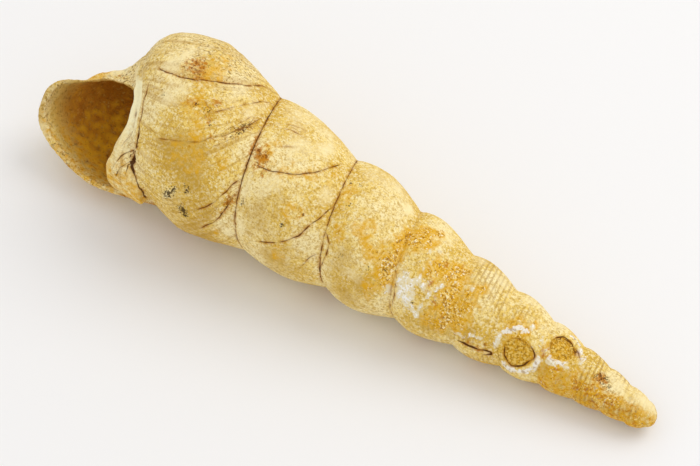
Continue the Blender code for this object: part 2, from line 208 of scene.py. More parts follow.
# tan, where the stone is less bleached
SPOTS["tan"] = (
    (-0.033, 0.74, 2, 1.4, 0.8), (-0.019, 0.62, 2, 1.5, 1), (-0.01, 0.5, 2, 1.5, 1),
    (-0.045, 0.55, 2, 1.8, 1), (-0.062, 0.4, 2.2, 1.5, 0.9), (-0.1, 0.28, 2, 1.2, 0.6),
    (-0.08, 0.48, 1.8, 1.5, 0.5), (-0.135, 0.55, 3, 2.5, 0.5), (-0.2, 0.4, 5, 3, 0.7),
    (-1.071, 0.72, 2.4, 1.8, 0.7), (-1.026, 0.6, 1.6, 1.4, 0.4), (-1.16, 0.5, 3.5, 3, 0.8),
    (-2.065, 0.7, 2.4, 1.6, 0.7), (-2.102, 0.4, 2, 1.3, 0.8), (-2.15, 0.6, 3, 2.5, 0.8),
    (-3.14, 0.4, 2.2, 2.2, 0.7), (-4.14, 0.93, 1.5, 0.8, 0.7), (-4.085, 0.6, 1.5, 1, 0.9),
    (-6.08, 0.5, 1.6, 1.4, 0.6), (-7.12, 0.4, 1.5, 1.3, 0.6), (-9.08, 0.5, 1.3, 1.3, 0.6),
    (-6.078, 0.78, 1.5, 1, 0.9), (-6.097, 0.32, 1.5, 1, 0.9), (-7.108, 0.84, 1.5, 1, 0.9),
    (-7.12, 0.3, 1.5, 1, 0.9), (-8.123, 0.71, 1.5, 1, 0.9), (-8.127, 0.07, 1.5, 1, 0.9),
    (-9.104, 0.33, 1.5, 1, 0.9),
)
# bleached, almost white
SPOTS["pale"] = (
    (-0.82, 0.75, 2.5, 1.8, 0.7), (-0.8, 0.42, 2.5, 1.5, 0.6), (0.044, 0.86, 1.8, 1, 0.8),
    (0.058, 0.75, 1.6, 0.9, 0.5), (0.135, 0.88, 2.2, 1, 0.8), (0.11, 0.97, 2.2, 1, 0.7),
    (0.121, 0.33, 2.5, 1, 0.7), (0.107, 0.17, 2.2, 0.8, 0.8), (0.14, 0.08, 2, 0.5, 0.6),
    (-0.892, 0.58, 2.2, 1.4, 0.8), (-0.85, 0.32, 2.2, 1.4, 0.8), (-0.986, 0.67, 1.5, 1, 0.6),
    (-1.005, 0.75, 1.4, 1, 0.7), (-1.036, 0.93, 2.2, 0.4, 0.9), (-0.95, 0.12, 1.5, 1, 0.7),
    (-2.085, 0.54, 1.2, 1.2, 0.6), (-1.83, 0.16, 1.2, 1, 1), (-1.823, 0.73, 2.2, 1.6, 0.6),
    (-1.801, 0.4, 2, 1.6, 0.5), (-2.835, 0.6, 1.8, 1.2, 0.8), (-2.84, 0.42, 1.6, 1, 0.6),
    (-3.798, 0.86, 1.6, 0.8, 0.7), (-3.834, 0.42, 1.5, 1.5, 0.6), (-4.807, 0.68, 1.6, 1.4, 0.6),
    (-5.789, 0.84, 1.2, 1, 0.5), (-7.036, 0.9, 0.9, 0.5, 0.6), (-7.894, 0.47, 1.4, 1, 1),
    (-8.895, 0.46, 1.6, 1.6, 1), (-9.85, 0.8, 1.3, 1.3, 1), (-6.244, 0.62, 1, 0.8, 0.7),
    (-7.841, 0.95, 0.8, 0.7, 0.8), (-1.117, 0.92, 1.6, 0.5, 0.7), (-0.161, 0.08, 0.8, 0.6, 0.9),
    (-0.075, 0.9, 1.5, 1.2, 0.4), (0.55, 0.4, 5, 3, 0.5), (0.35, 0.5, 5, 3, 0.5), (-0.65, 0.5, 5, 3, 0.5),
    (-1.5, 0.5, 5, 3, 0.5),
)
# thick white lime crust
SPOTS["crust"] = (
    (-2.085, 0.04, 0.8, 0.4, 0.8), (-2.92, 0.62, 0.5, 0.4, 0.6), (-2.9, 0.5, 0.5, 0.4, 0.5),
    (-3.94, 0.8, 0.5, 0.4, 0.6), (-5.868, 0.08, 0.6, 0.45, 1), (-4.925, 0.42, 0.5, 0.35, 1),
    (-4.063, 0.03, 1.3, 0.35, 0.9), (-5.985, 0.95, 0.6, 0.35, 0.8), (-5.075, 0.07, 1.2, 0.35, 1),
    (-5.15, 0.62, 0.7, 0.45, 0.9), (-4.08, 0.45, 0.4, 1.2, 0.5), (-4.106, 0.7, 0.4, 1, 0.5),
    (-6.02, 0.72, 0.4, 0.9, 0.8), (-6, 0.3, 0.4, 0.7, 0.6), (-4.96, 0.1, 1, 0.3, 0.7),
    (-6.93, 0.95, 0.5, 0.4, 0.6),
)
# manganese specks
SPOTS["black"] = (
    (0.069, 0.16, 0.7, 0.45, 1), (0.058, 0.19, 0.5, 0.35, 0.9), (0.084, 0.12, 0.45, 0.3, 0.7),
    (-0.117, 0.63, 0.6, 0.5, 1), (-0.105, 0.58, 0.5, 0.4, 0.8), (-0.127, 0.66, 0.5, 0.4, 0.8),
    (-0.095, 0.46, 0.4, 0.35, 1), (-0.085, 0.47, 0.3, 0.25, 0.8), (-0.143, 0.49, 0.55, 0.45, 1),
    (-0.151, 0.47, 0.45, 0.4, 1), (-0.135, 0.51, 0.5, 0.35, 0.8), (0.041, 0.21, 0.25, 0.2, 0.9),
    (0.051, 0.6, 0.3, 0.3, 0.8), (0.05, 0.53, 0.4, 0.2, 0.7), (0.057, 0.48, 0.4, 0.2, 0.7),
    (0.038, 0.42, 0.4, 0.2, 0.8), (0.037, 0.92, 0.3, 0.2, 0.6), (0.046, 0.94, 0.2, 0.2, 0.5),
    (-1.059, 0.46, 0.3, 0.25, 1), (-1.018, 0.28, 0.2, 0.2, 0.6), (-1.063, 0.93, 0.35, 0.3, 0.9),
    (-1.886, 0.94, 0.2, 0.15, 0.7), (-1.88, 0.82, 0.25, 0.2, 0.7), (-1.941, 0.84, 0.25, 0.2, 0.9),
    (-2.056, 0.72, 0.2, 0.2, 0.9), (-2.049, 0.34, 0.25, 0.2, 0.7), (-2.034, 0.14, 0.25, 0.2, 0.7),
    (-6.933, 0.23, 0.45, 0.3, 0.6), (-6.91, 0.06, 0.4, 0.3, 0.5), (-6.955, 0.05, 0.4, 0.3, 0.5),
    (-7.965, 0.83, 0.4, 0.3, 0.5), (-6.944, 0.36, 0.4, 0.25, 0.55), (-3.075, 0.62, 0.2, 0.2, 0.8),
)

# patches of spots that lie close together: (kind, first and last turn, first and last share, count,
# mm along, mm across, strength)
PATCHES = (
    ("ochre", -2.84, -2.93, 0.62, 0.95, 4, 1.3, 1, 0.95),
    ("ochre", -2.9, -2.98, 0.15, 0.55, 4, 1.2, 1, 0.85),
    ("ochre", -2.87, -3.14, 0, 0.18, 7, 1.2, 1, 0.95),
    ("ochre", -3.06, -3.13, 0.28, 0.45, 3, 0.8, 0.7, 0.75),
    ("ochre", -3.9, -4.09, 0.62, 0.94, 5, 1.1, 0.9, 0.85),
    ("ochre", -1.89, -2.07, 0.02, 0.16, 5, 1.3, 0.9, 0.9),
    ("ochre", -4.9, -5.02, 0.4, 0.95, 5, 0.9, 0.7, 0.85),
    ("rust", -2.86, -3.1, 0.08, 0.5, 6, 0.7, 0.4, 0.65),
    ("rust", -4.1, -4.14, 0.24, 0.78, 3, 0.75, 0.35, 0.8),
    ("crust", -3, -3.09, 0.62, 0.94, 8, 0.72, 0.48, 1),
    ("crust", -3.07, -3.11, 0.48, 0.66, 3, 0.75, 0.36, 1),
    ("crust", -2.98, -3.04, 0.26, 0.58, 6, 0.5, 0.34, 0.9),
    ("crust", -2.94, -2.99, 0.08, 0.3, 4, 0.34, 0.26, 0.6),
    ("crust", -2.94, -2.98, 0.56, 0.8, 3, 0.42, 0.3, 0.65),
)
GOLDEN = 0.618  # part of a patch from one spot to the next, so that none line up


# ---------- the rule of growth

def span(turn):
    return SPAN_AT_ZERO * np.exp(GROWTH * turn + GROWTH_RISE * turn * turn)


def turn_of(distance):
    rise = np.log(distance / SPAN_AT_ZERO)
    return (np.sqrt(GROWTH ** 2 + 4 * GROWTH_RISE * rise) - GROWTH) / (2 * GROWTH_RISE)


def angle_of(turn):
    return PHASE - 2 * math.pi * turn


def eased(stations, where):
    """Smooth interpolation of rows (key, value, ...) at an array of keys; one array a value."""
    table = np.array(stations)
    keys = table[:, 0]
    where = np.clip(where, keys[0], keys[-1])
    low = np.clip(np.searchsorted(keys, where, side="right") - 1, 0, len(keys) - 2)
    part = (where - keys[low]) / (keys[low + 1] - keys[low])
    part = part * part * (3 - 2 * part)
    return [column[low] + (column[low + 1] - column[low]) * part for column in table.T[1:]]


def place(distance, radius, angle):
    """Points in the row frame, in mm, from arrays of distance from the pole, radius and turn angle."""
    distance, radius, angle = np.broadcast_arrays(distance, radius, angle)
    return (POLE + distance[..., None] * ALONG
            + radius[..., None] * (np.cos(angle)[..., None] * LIFTED + np.sin(angle)[..., None] * ACROSS))


def wall_section(turn, share):
    distance = np.maximum(span(turn + share), TIP_SPAN)
    worn = eased(WEAR, turn + share)[0]
    swell = BULGE * np.sin(math.pi * np.clip(share, 0, 1) ** BULGE_SKEW).clip(0) ** BULGE_FULL
    tip = np.clip((distance - TIP_SPAN) / TIP_ROUND, 0, 1)
    return distance, CONE * distance * (1 + swell * worn) * np.sqrt((1 - (1 - tip) ** 2).clip(0))


def wall(turn, share):
    turn, share = np.asarray(turn, float), np.asarray(share, float)
    return place(*wall_section(turn, share), angle_of(turn))


def bent(a, b, c, d, part):
    rest = 1 - part
    return rest ** 3 * a + 3 * rest * rest * part * b + 3 * rest * part * part * c + part ** 3 * d


def base(turn, part):
    """On the base of the last whorl: part 0 is where the wall ends, 1 the crest and 2 the axis."""
    size = span(turn)
    start = [v / size for v in wall_section(turn, np.full_like(turn, BASE_AT))]
    near, far = np.clip(part, 0, 1), np.clip(part - 1, 0, 1)
    spot = []
    for k in (0, 1):
        out_of, to_crest, off_crest, to_axis = (handle[k] for handle in BASE_HANDLES)
        crest, axis = BASE_CREST[k], BASE_AXIS[k]
        spot.append(np.where(part <= 1, bent(start[k], start[k] + out_of, crest + to_crest, crest, near),
                             bent(crest, crest + off_crest, axis + to_axis, axis, far)))
    flare = eased(BASE_FLARE, turn)[0] * np.minimum(1, np.minimum(1.4 * part, 1.4 * (2 - part)))
    return place((spot[0] + flare) * size, spot[1].clip(0) * size, angle_of(turn))


def hollow_edge(turn, part):
    """On the hollow's wall: part runs once round it."""
    table = np.array(LUMEN)
    where = part * len(table)
    i = np.floor(where).astype(int)
    t = (where - i)[:, None]
    before, a, b, after = (table[(i + k) % len(table)] for k in (-1, 0, 1, 2))
    spot = 0.5 * (2 * a + (b - before) * t + (2 * before - 5 * a + 4 * b - after) * t ** 2
                  + (3 * a - before - 3 * b + after) * t ** 3)
    deep = np.clip((turn - LUMEN_FROM) / LUMEN_ROUND, 0, 1)
    spot = LUMEN_MIDDLE + (spot - LUMEN_MIDDLE) * np.sqrt(1 - (1 - deep) ** 2)[:, None]
    towards_crest = np.clip((spot[:, 0] - LUMEN_MIDDLE[0]) / (BASE_CREST[0] - LUMEN_MIDDLE[0]), 0, 1)
    flare = eased(BASE_FLARE, turn)[0] * towards_crest
    size = span(turn)
    return place((spot[:, 0] + flare) * size, spot[:, 1] * size, angle_of(turn))


def lip_edge(along, part):
    """On the inner lip, a thin wall with a rounded edge: part runs round its section from its root."""
    degrees = LIP[0][0] + (LIP[-1][0] - LIP[0][0]) * along
    radius, edge, half, height = eased(LIP, degrees)
    turn = np.clip(part * 2 - 0.5, 0, 1) * math.pi
    side = -np.cos(turn)
    root = np.maximum(np.clip(1 - part * 4, 0, 1), np.clip(part * 4 - 3, 0, 1))
    down = np.maximum(half * (1 - np.sin(turn)), 0) + root * (height - half)
    return place(edge - down, radius + half * side, AXIS_TURN + np.radians(degrees))


# ---------- modelling

def select_only(*pieces):
    bpy.ops.object.select_all(action="DESELECT")
    for piece in pieces:
        piece.select_set(True)
    bpy.context.view_layer.objects.active = pieces[0]


def vectors(items, name):
    flat = np.empty(len(items) * 3)
    items.foreach_get(name, flat)
    return flat.reshape(-1, 3)


def points(piece):
    return vectors(piece.data.vertices, "co")


def move_points(piece, where):
    piece.data.vertices.foreach_set("co", np.ascontiguousarray(where, np.float32).ravel())
    piece.data.update()


def grown_sheet(name, rows, columns, rule):
    """A grid whose vertices move to where the rule puts them, for row and column parts from 0 to 1."""
    bpy.ops.mesh.primitive_grid_add(x_subdivisions=rows, y_subdivisions=columns, size=2)
    made = bpy.context.object
    made.name = name
    flat = points(made)
    row = np.rint((flat[:, 0] + 1) / 2 * rows) / rows
    column = np.rint((flat[:, 1] + 1) / 2 * columns) / columns
    move_points(made, rule(row, column) * MM)
    return made


def closed_body(name, *sheets):
    """Joins sheets into one closed body: seams merged, what is open filled, faces turned out."""
    select_only(*sheets)
    if len(sheets) > 1:
        bpy.ops.object.join()
    body = bpy.context.object
    body.name = name
    edit = bpy.ops.mesh
    bpy.ops.object.mode_set(mode="EDIT")
    edit.select_mode(type="VERT")
    edit.select_all(action="SELECT")
    edit.remove_doubles(threshold=MERGED)
    edit.dissolve_degenerate(threshold=MERGED)
    edit.delete_loose()
    edit.select_all(action="DESELECT")
    edit.select_non_manifold(extend=False)
    if body.data.total_edge_sel:
        edit.edge_face_add()
    edit.select_all(action="SELECT")
    edit.quads_convert_to_tris()
    edit.normals_make_consistent(inside=False)
    bpy.ops.object.mode_set(mode="OBJECT")
    return body


def change(body, kind, **settings):
    select_only(body)
    made = body.modifiers.new(kind, kind)
    for name, value in settings.items():
        setattr(made, name, value)
    bpy.ops.object.modifier_apply(modifier=kind)


def combine(body, other, operation):
    change(body, "BOOLEAN", operation=operation, solver="MANIFOLD", object=other)


def remesh(body, size):
    change(body, "REMESH", mode="VOXEL", voxel_size=size * MM)


def wall_sheet(name, last_turn, low, high, columns):
    """The wall from its first turn to a last one, between two shares of the whorl's height."""
    turns = last_turn - FIRST_TURN
    return grown_sheet(name, round(turns * STEPS), columns, lambda row, column: wall(
        FIRST_TURN + row * turns, low + column * (high - low)))


def grown_shell():
    """The whorls and the free base, closed across the mouth."""
    before_mouth = MOUTH_TURN - 1
    upper = wall_sheet("upper_wall", MOUTH_TURN, 0, BASE_AT, 16)
    lower = wall_sheet("lower_wall", before_mouth, BASE_AT, 1, 10)
    free_base = grown_sheet("free_base", STEPS, 40, lambda row, column: base(
        before_mouth + row, column * 2))
    shell = closed_body("fossil_shell", upper, lower, free_base)
    remesh(shell, FINE_GRAIN)
    return shell


def grown_hollow():
    rows = round((LUMEN_TO - LUMEN_FROM) * STEPS)
    tube = grown_sheet("hollow", rows, 72, lambda row, column: hollow_edge(
        LUMEN_FROM + row * (LUMEN_TO - LUMEN_FROM), column % 1))
    return closed_body("hollow", tube)


def mouth_scoop():
    distance, radius, degrees = MOUTH_AT
    angle = AXIS_TURN + math.radians(degrees)
    middle = place(distance, radius, angle)
    out = place(0, 1, angle) - POLE
    basis = np.stack((ALONG, out, np.cross(ALONG, out)))
    bpy.ops.mesh.primitive_uv_sphere_add(segments=64, ring_count=40, radius=1)
    scoop = bpy.context.object
    scoop.name = "scoop"
    move_points(scoop, (middle + (points(scoop) * MOUTH_SIZE) @ basis) * MM)
    return scoop


def grown_lip():
    lip = grown_sheet("inner_lip", 96, 48, lambda row, column: lip_edge(row, column % 1))
    return closed_body("inner_lip", lip)


def tree_of(piece):
    return BVHTree.FromPolygons([v.co for v in piece.data.vertices],
                                [tuple(f.vertices) for f in piece.data.polygons])


# ---------- where things are on the surface

def distances(tree, where):
    """Distance in mm from each point to the surface that the tree was made from."""
    return np.array([tree.find_nearest(Vector(point))[3] for point in where * MM]) / MM


def waves(where, size):
    """Smooth noise from about -1 to 1 whose features are size mm long; moved points give another one."""
    return np.array([noise.noise(point) for point in (where / size).tolist()])


def step(low, high, value):
    part = np.clip((value - low) / (high - low), 0, 1)
    return part * part * (3 - 2 * part)


def growth_place(where):
    """Turn and share of each point, with its distance from the pole."""
    off = where - POLE
    distance = np.maximum(off @ ALONG, TIP_SPAN)
    angle = np.arctan2(off @ ACROSS, off @ LIFTED)
    late = turn_of(distance)
    turn = (PHASE - angle) / (2 * math.pi)
    turn = turn + np.floor(late - turn)
    turn = np.where(turn > MOUTH_TURN, turn - 1, turn)
    return turn, late - turn, distance


def on_surface(tree, where):
    return np.array([tree.find_nearest(Vector(point))[0] for point in where * MM]) / MM


def placed(columns):
    """Points in mm from columns of turn and share, or of span, radius and degrees."""
    if len(columns) == 2:
        return wall(*columns)
    distance, radius, degrees = columns
    return place(distance, radius, AXIS_TURN + np.radians(degrees))


def fine_line(line):
    """A line's points, about LINE_STEP apart, from its corners."""
    columns = np.array(line).T
    length = np.append(0, np.cumsum(norm(np.diff(placed(columns), axis=0), axis=1)))
    at = np.linspace(0, length[-1], max(int(length[-1] / LINE_STEP), 4))
    return placed([np.interp(at, length, column) for column in columns])


def window_frame(window):
    """Middle of a worn window, its outward direction and two directions in it: tipwards and sideways."""
    turn, share = window[:2]
    middle = wall(turn, share)
    onward = wall(turn + NUDGE, share - NUDGE) - middle
    down = wall(turn, share + 2 * NUDGE) - wall(turn, share - 2 * NUDGE)
    out = np.cross(onward, down)
    out /= norm(out)
    out *= np.sign(out @ (middle - POLE - (middle - POLE) @ ALONG * ALONG))
    tipwards = -ALONG + (ALONG @ out) * out
    tipwards /= norm(tipwards)
    return middle, out, tipwards, np.cross(out, tipwards)


def crack_lines():
    """Every crack as (half width, depth, points), the arcs round the windows among them."""
    lines = [(half, depth, fine_line(line)) for half, depth, line in CRACKS + LIP_CRACKS]
    for number, low, high, part, half in RINGS:
        middle, _, tipwards, sideways = window_frame(WINDOWS[number])
        angle = np.radians(np.arange(low, high, RING_STEP))
        uneven = 1 + 0.07 * np.sin(3 * angle + 2 * number) + 0.03 * np.sin(7 * angle)
        radius = WINDOWS[number][2] * part * uneven
        lines.append((half, RING_DEEP, middle + radius[:, None] * (
            np.cos(angle)[:, None] * tipwards + np.sin(angle)[:, None] * sideways)))
    return lines


def nearest_spot(spots, where):
    """The number of the spot nearest to each point, and how far off it is, in mm."""
    finder = KDTree(len(spots))
    for number, spot in enumerate(spots):
        finder.insert(spot, number)
    finder.balance()
    found = np.array([finder.find(point)[1:] for point in where.tolist()])
    return found[:, 0].astype(int), found[:, 1]


def line_field(lines, tree, where, normals):
    """Signed distance to the nearest line, and its half width and depth there (0 away from it)."""
    parts = []
    for number, (half, depth, line) in enumerate(lines):
        drift = np.stack([waves(line + 31.7 * k, 1.3) for k in (1, 2, 3)], 1)
        line = on_surface(tree, line + CRACK_WANDER * drift)
        ends = np.minimum(np.arange(len(line)), np.arange(len(line))[::-1]) * LINE_STEP
        thin = np.clip(0.35 + ends / 1.2, 0, 1) * (0.85 + 0.9 * waves(line + 9.1 * number, 0.8))
        thin = np.clip(thin, 0.15, 1.5)
        tangent = np.gradient(line, axis=0)
        tangent /= np.maximum(norm(tangent, axis=1), 1e-9)[:, None]
        parts.append((line, tangent, half * thin, depth * thin))
    spots, along, halves, depths = (np.concatenate(column) for column in zip(*parts))
    nearest, reach = nearest_spot(spots, where)
    off = where - spots[nearest]
    past = np.abs((off * along[nearest]).sum(1))
    side = (np.cross(along[nearest], normals) * off).sum(1)
    near = np.clip(1 - (past - 0.15) / 0.3, 0, 1) * (reach < CRACK_REACH)
    return side, halves[nearest] * near, depths[nearest] * near


def suture_field(where, turn, share):
    """Signed distance to the suture, with the half width of its dark line and its depth."""
    turns = np.arange(SUTURE_FROM, MOUTH_TURN, SUTURE_STEP)
    spots = wall(turns, np.zeros_like(turns))
    nearest, reach = nearest_spot(spots, where)
    half, depth = eased(SUTURE, turns[nearest])
    near = (reach < SUTURE_REACH) & (turns[nearest] < MOUTH_TURN - NUDGE)
    broken = np.clip(1 + 0.8 * waves(spots, 1.1) + 0.4 * waves(spots, 0.4), 0.25, 1.6)[nearest]
    return np.where(share < 0.5, reach, -reach), half * near * broken, depth * near


def spot_field(spots, tree, where):
    """How strongly a kind of spot covers each point, from 0 to 1."""
    bare = np.ones(len(where))
    for turn, share, long, wide, strength in spots:
        middle = on_surface(tree, wall(turn, share)[None])[0]
        onward = wall(turn + NUDGE, share) - wall(turn - NUDGE, share)
        onward /= norm(onward)
        off = where - middle
        ahead = off @ onward
        aside_squared = (off ** 2).sum(1) - ahead ** 2
        bare *= 1 - strength * np.exp(-(ahead / long) ** 2 - aside_squared / wide ** 2)
    return 1 - bare


def laid_out(patches, kind):
    """The spots of one kind that its patches hold, spread evenly but in no line."""
    spots = []
    for made_of, turn, last_turn, share, last_share, count, along, across, strength in patches:
        for number in range(count if made_of == kind else 0):
            spot_turn = turn + (last_turn - turn) * (number + 0.5) / count
            spot_share = share + (last_share - share) * (number * GOLDEN % 1)
            size = 0.75 + 0.5 * (2 * number * GOLDEN % 1)
            spots.append((spot_turn, spot_share, along * size, across * size, strength))
    return tuple(spots)


# ---------- wear

def at_least(found, kind, value):
    found[kind] = np.maximum(found[kind], value)


def stain_wall(found, tree, where, turn, degrees, outer):
    """The listed spots, noise where none is listed, and ochre and rust on the tip's lower side, clay in part
    and painted shade in part.
    """
    for kind, spots in SPOTS.items():
        spots += laid_out(PATCHES, kind)
        found[kind] = spot_field(spots, tree, where) * (outer if kind != "black" else 1)
    unlisted = outer * step(70, 105, np.abs(degrees))
    for number, (kind, most) in enumerate((("ochre", 0.75), ("tan", 0.8), ("pale", 0.8), ("rust", 0.6))):
        patch = step(0.12 + 0.1 * (kind == "rust"), 0.5, waves(where + 130 + 50 * number, 5.5))
        at_least(found, kind, most * unlisted * patch)
    # ochre and rust on the tip's lower side: clay in part, painted shade in part
    tip_clay_and_shade = (1 - step(-6.6, -5.3, turn)) * step(-30, 20, degrees) * (1 - step(70, 110, degrees))
    at_least(found, "ochre", outer * tip_clay_and_shade * (0.7 + 0.45 * waves(where + 61, 1.6)))
    at_least(found, "rust", outer * tip_clay_and_shade * (0.3 + 0.3 * waves(where + 67, 1.2)))


def stain_mouth(found, where, degrees, to_lip):
    """Pale at the inner lip's top: pale stone with a painted highlight. Clay holds at its foot; ochre and
    rust come in low on the rim and low inside.
    """
    # the inner lip's top: pale stone in part, painted highlight in part
    at_least(found, "pale", found["lip"] * (1 - 0.75 * step(15, 70, degrees)))
    at_least(found, "ochre", found["lip"] * 0.5 * step(30, 75, degrees))
    # paler still by the inner lip's top: pale stone in part, painted highlight in part
    found["bleached_and_highlight"] = ((1 - step(0.6, 1.5, to_lip)) * (1 - found["inside"])
                         * (1 - 0.9 * step(5, 50, degrees)) * step(-32, -12, degrees))
    # ochre and rust by height above the floor: clay in part, and low inside the hollow painted light in
    # part, a brighter orange that makes up for the little light inside
    for kind, part, most, low, high in (("ochre", "rim", 0.42, 4, 10), ("ochre", "inside", 0.58, 1.5, 6.5),
                                        ("rust", "inside", 0.3, 2, 7)):
        at_least(found, kind, most * found[part] * (1 - step(low, high, where[:, 2])))


def fields(shell, outside, within, lip):
    """Everything that the relief and the colours are made from, at each vertex."""
    where = points(shell) / MM
    normals = vectors(shell.data.vertex_normals, "vector")
    tree = tree_of(shell)
    turn, share, distance = growth_place(where)
    late = turn - SWEEP * (1 - np.clip(share, 0, 1)) ** SWEEP_POWER
    out_of, in_to, to_lip = (distances(t, where) for t in (outside, within, lip))
    found = {
        "growth": LAP_AT_ZERO / GROWTH * np.exp(GROWTH * late),
        "rise": distance - span(turn),
        "size": distance / span(0.0),
        "inside": step(-0.25, 0.25, out_of - in_to) * step(0.1, 0.5, to_lip),
        "lip": 1 - step(0.1, 0.6, to_lip),
        "rim": 1 - step(0.5, 1.3, np.maximum(out_of, in_to)),
        "deep": (MOUTH_TURN - turn) * 2 * math.pi * norm(np.cross(where - POLE, ALONG), axis=1),
    }
    found["lip"] *= step(0.2, 0.6, out_of)
    found["rim"] *= 1 - found["lip"]
    for name, values in (("crack", line_field(crack_lines(), tree, where, normals)),
                         ("suture", suture_field(where, turn, share))):
        found[name], found[name + "_half"], found[name + "_deep"] = values
    outer = (1 - found["inside"]) * (1 - found["lip"])
    degrees = (np.degrees(PHASE - turn * 2 * math.pi - AXIS_TURN) + 180) % 360 - 180
    stain_wall(found, tree, where, turn, degrees, outer)
    stain_mouth(found, where, degrees, to_lip)
    # loose granules stand on the clay outside
    found["granules"] = found["ochre"] * (1 - found["inside"])
    # spiral threads show in patches on the middle whorls and near the tip, clear of the sutures
    patchy = 0.2 + 0.8 * step(-0.25, 0.4, waves(where + 33, 3))
    patchy *= step(0.03, 0.16, share) * (1 - step(0.84, 0.97, share))
    found["threads"] = outer * patchy * (
        step(-4.6, -4.1, turn + share) * (1 - step(-2.9, -2.5, turn + share)) * 0.6
        + (1 - step(-6.3, -5.7, turn + share)))
    # growth lines show on the last whorls, and fade towards the tip
    found["lines"] = outer * (0.25 * step(-3, -1.5, turn) + 0.75 * step(-0.7, -0.1, turn))
    return where, normals, found


def relief(where, found):
    """How far each vertex moves out, in mm."""
    outer = 1 - found["inside"]
    small = 0.55 + 0.45 * found["size"]
    rise = small * (0.1 * waves(where, 6) + 0.05 * waves(where + 40, 2.2)) + 0.022 * waves(where + 80, 0.9)
    grown = np.stack((found["growth"], found["rise"] / 14, np.zeros(len(where))), 1)
    ribs = 0.02 * waves(grown + (0, 0, 3.3), 1.6) + 0.01 * waves(grown + (0, 0, 7.7), 0.75)
    rise += ribs * found["lines"] * (0.6 + 0.8 * step(-0.4, 0.5, waves(where + 11, 7)))
    rise += THREAD_HIGH * np.sin(found["rise"] * 2 * math.pi / THREAD_PITCH) * found["threads"]
    rise -= found["suture_deep"] * np.exp(-(found["suture"] / SUTURE_SLOPE) ** 2) * outer
    rise -= found["crack_deep"] * np.exp(-(found["crack"] / (CRACK_SLOPE + found["crack_half"])) ** 2)
    lumps = 0.5 + 0.5 * waves(where + 23, 0.8)
    rise += step(0.35, 0.75, found["crust"]) * CRUST_THICK * (1 + lumps)
    rise -= RUST_PIT * step(0.3, 0.8, found["rust"]) * lumps + BLACK_PIT * found["black"] * lumps
    rise += found["inside"] * (0.1 * waves(where + 60, 2.6) + 0.05 * waves(where + 70, 1))
    rise -= found["rim"] * (0.1 + 0.16 * waves(where + 90, 1.5) + 0.08 * waves(where + 95, 0.6))
    return rise


def flattened(where, found):
    """Wears the windows flat, down to a rough plug, and lifts a little rim round each."""
    found["plug"], found["brim"] = np.zeros((2, len(where)))
    for number, window in enumerate(WINDOWS):
        size, depth = window[2:]
        middle, out, tipwards, sideways = window_frame(window)
        off = where - middle
        high, flat = off @ out, np.hypot(off @ tipwards, off @ sideways)
        flat = flat + 0.12 * waves(where + 15, 0.9)
        front = high > -1.2
        cut = (1 - step(size - 0.12, size + 0.22, flat)) * front
        bottom = -depth + 0.05 * waves(where + 55, 0.7)
        where = where + (cut * np.minimum(bottom - high, 0))[:, None] * out
        brim = np.zeros(len(where))
        turned = np.degrees(np.arctan2(off @ sideways, off @ tipwards))
        for start, end, radius, half in (row[1:] for row in BRIMS if row[0] == number):
            past = (turned - start) % 360
            ends = step(0, BRIM_FADE, past) * (1 - step(end - start - BRIM_FADE, end - start, past))
            brim = np.maximum(brim, np.exp(-((flat - radius) / half) ** 2) * ends * front)
        where = where + (0.12 * brim * (1 + waves(where + 77, 0.9)))[:, None] * out
        at_least(found, "plug", (1 - step(size - 0.1, size + 0.1, flat)) * front)
        at_least(found, "brim", brim)
    return where


def wear_down(shell, outside, within, lip):
    """Moves the vertices by the relief, keeps them in the solid's box and stores the fields."""
    where, normals, found = fields(shell, outside, within, lip)
    where = flattened(where, found)
    where = where + relief(where, found)[:, None] * normals
    low, high = np.array(cad_box) / MM
    move_points(shell, np.clip(where, low, high) * MM)
    for name in SHOWN:
        field = shell.data.attributes.new(name, "FLOAT", "POINT")
        field.data.foreach_set("value", np.ascontiguousarray(found[name], np.float32))


# ---------- materials

# the fields that the colours read
SHOWN = ("growth", "rise", "inside", "lip", "rim", "deep", "crack", "crack_half", "suture", "suture_half",
         "tan", "pale", "ochre", "granules", "rust", "crust", "black", "bleached_and_highlight", "plug", "brim", "threads",
         "lines")


def feed(tree, node, sockets):
    """Gives each input its value, or the output that it comes from."""
    for key, value in sockets.items():
        if isinstance(value, bpy.types.NodeSocket):
            tree.links.new(value, node.inputs[key])
        else:
            node.inputs[key].default_value = value


def add(tree, kind, sockets=None, out=0, **settings):
    """Adds one node with its settings, feeds it and gives one of its outputs."""
    made = tree.nodes.new("ShaderNode" + kind)
    for name, value in settings.items():
        setattr(made, name, value)
    feed(tree, made, sockets or {})
    return made.outputs[out]


def linear(code):
    """sRGB hex to the linear colour that shaders take."""
    parts = [int(code[i:i + 2], 16) / 255 for i in (0, 2, 4)]
    return [p / 12.92 if p <= 0.04045 else ((p + 0.055) / 1.055) ** 2.4 for p in parts] + [1.0]


def shader_of(name):
    made = bpy.data.materials.new(name)
    made.use_nodes = True
    return made, made.node_tree, made.node_tree.nodes["Principled BSDF"]


# the stone's own colour, in broad patches: (part of the noise, colour)
BODY_GRAIN = 6
BODY = ((0.36, "E0B84C"), (0.5, "F0D072"), (0.64, "FAE6A6"))

